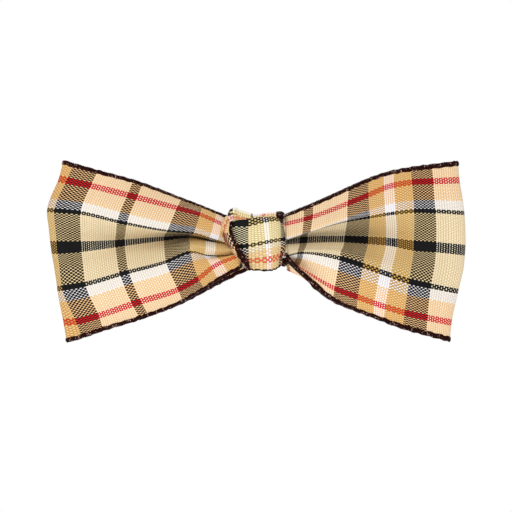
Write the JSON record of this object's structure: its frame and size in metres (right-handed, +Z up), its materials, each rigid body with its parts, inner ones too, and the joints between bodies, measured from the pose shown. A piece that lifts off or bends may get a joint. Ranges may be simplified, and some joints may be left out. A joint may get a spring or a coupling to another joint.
{
  "type": "clip-on bow tie",
  "caption": "Clip-on bow tie: a wired check ribbon ring pinched into two pleated loops, a knotted ribbon middle and a sprung twin collar clip behind it.",
  "frame": {"origin": "middle of the clip bar's back face, where the bow meets the collar", "axes": "+X across the bow to the viewer's right, +Y from the bow's front towards the wearer, +Z up as worn"},
  "size_m": [0.1138, 0.0214, 0.0502],
  "materials": {
    "check_ribbon": "plain-woven check in camel, cream, black, white and red",
    "bound_edge": "dark overlocked thread with a slight sheen",
    "thread": "black polyester sewing thread",
    "edge_wire": "fine soft wire",
    "clip_plate": "nickel-plated pressed steel",
    "clip_pin": "nickel-plated rivet",
    "clip_spring": "hard-drawn spring wire"
  },
  "bodies": {
    "bow": {"left_wing": "check_ribbon", "right_wing": "check_ribbon", "bow_waist": "check_ribbon", "left_top_edge": "bound_edge", "left_bottom_edge": "bound_edge", "right_top_edge": "bound_edge", "right_bottom_edge": "bound_edge", "left_top_wire": "edge_wire", "left_bottom_wire": "edge_wire", "right_top_wire": "edge_wire", "right_bottom_wire": "edge_wire", "gathering_thread": "thread", "knot_front_band": "check_ribbon", "knot_left_turn": "check_ribbon", "knot_top_strand": "check_ribbon", "knot_bottom_strand": "check_ribbon", "knot_back_wrap": "check_ribbon", "knot_stitches": "thread", "clip_bar": "clip_plate", "left_pin": "clip_pin", "right_pin": "clip_pin", "left_spring": "clip_spring", "right_spring": "clip_spring"},
    "left_jaw": {"left_jaw": "clip_plate"},
    "right_jaw": {"right_jaw": "clip_plate"}
  },
  "joints": [
    {"name": "left_jaw_hinge", "type": "hinge", "parent": "bow", "child": "left_jaw", "pos_m": [-0.018, 0.0022, 0], "axis": [0, 0, -1], "range_deg": [0, 40], "stiffness_Nm_per_rad": 0.02, "springref_deg": -34.38, "deforming": ["left_spring"]},
    {"name": "right_jaw_hinge", "type": "hinge", "parent": "bow", "child": "right_jaw", "pos_m": [0.018, 0.0022, 0], "axis": [0, 0, 1], "range_deg": [0, 40], "stiffness_Nm_per_rad": 0.02, "springref_deg": -34.38, "deforming": ["right_spring"]}
  ]
}
